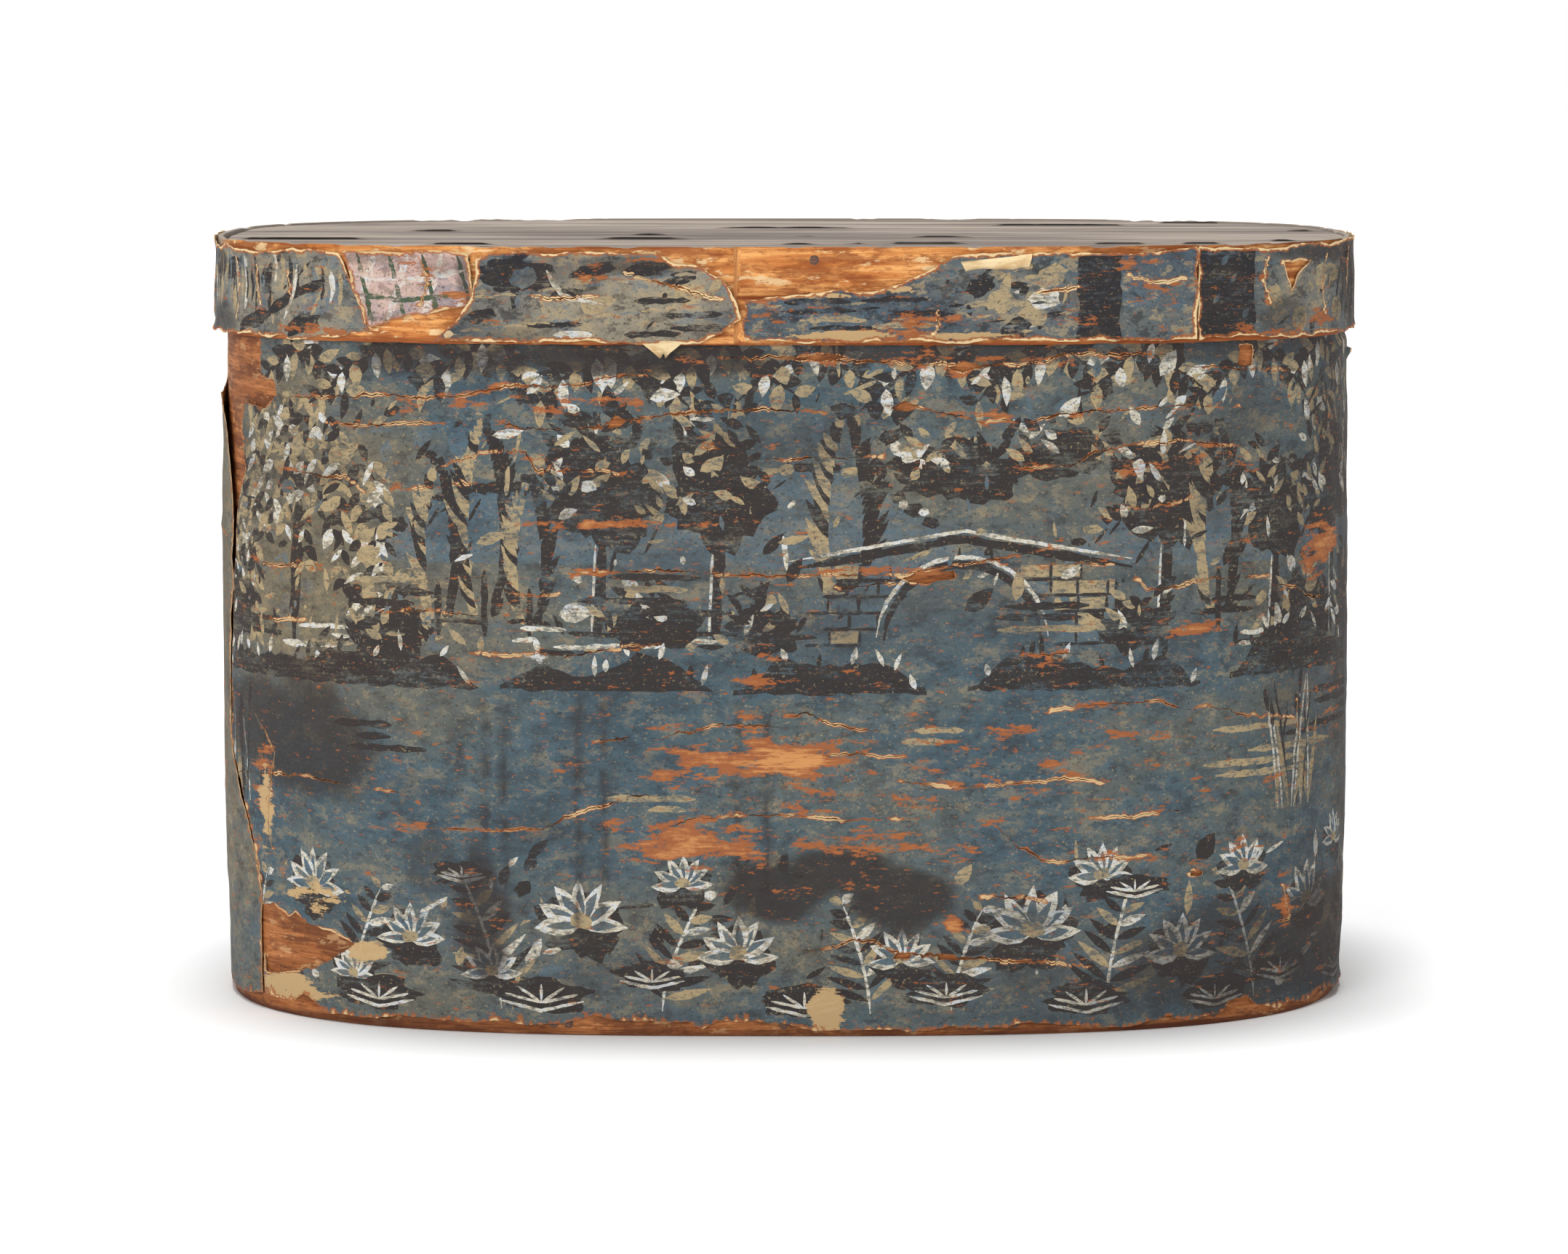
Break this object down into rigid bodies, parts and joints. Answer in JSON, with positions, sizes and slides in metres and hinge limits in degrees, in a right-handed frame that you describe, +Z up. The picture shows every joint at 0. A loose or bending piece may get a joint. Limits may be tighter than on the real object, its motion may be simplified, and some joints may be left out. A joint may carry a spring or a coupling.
{
  "type": "bandbox",
  "caption": "Oval storage box of thin bent wood with a lift-off lid, nailed to flat boards and covered outside with worn printed wallpaper.",
  "frame": {"origin": "middle of the foot of the box, on the surface it stands on", "axes": "+X along the width to the right of the front, +Y to the back, +Z up; the front faces -Y"},
  "size_m": [0.4698, 0.3508, 0.3114],
  "materials": {
    "bentwood": "bare orange-brown softwood, worn and stained",
    "board": "bare pine board",
    "weathered_board": "bare grey weathered pine",
    "nail_iron": "rusted iron",
    "wallpaper": "matt distemper print, stained and split",
    "rim_paper": "matt distemper print, scuffed",
    "scrap_paper": "matt pink distemper print",
    "lining_paper": "plain aged rag paper"
  },
  "bodies": {
    "box": {"side_band": "bentwood", "bottom_board": "board", "bottom_nails": "nail_iron", "band_tacks": "nail_iron", "front_paper": "wallpaper", "back_paper": "wallpaper", "side_lining": "lining_paper", "bottom_lining": "lining_paper"},
    "lid": {"lid_board": "weathered_board", "lid_band": "bentwood", "lid_nails": "nail_iron", "lid_left_paper": "rim_paper", "lid_scrap_paper": "scrap_paper", "lid_middle_paper": "rim_paper", "lid_right_paper": "rim_paper", "lid_end_paper": "rim_paper", "lid_back_paper": "rim_paper", "lid_lining": "lining_paper"}
  },
  "joints": [
    {"name": "lid_lift", "type": "slide", "parent": "box", "child": "lid", "axis": [0, 0, 1], "range_m": [0, 0.2]}
  ]
}
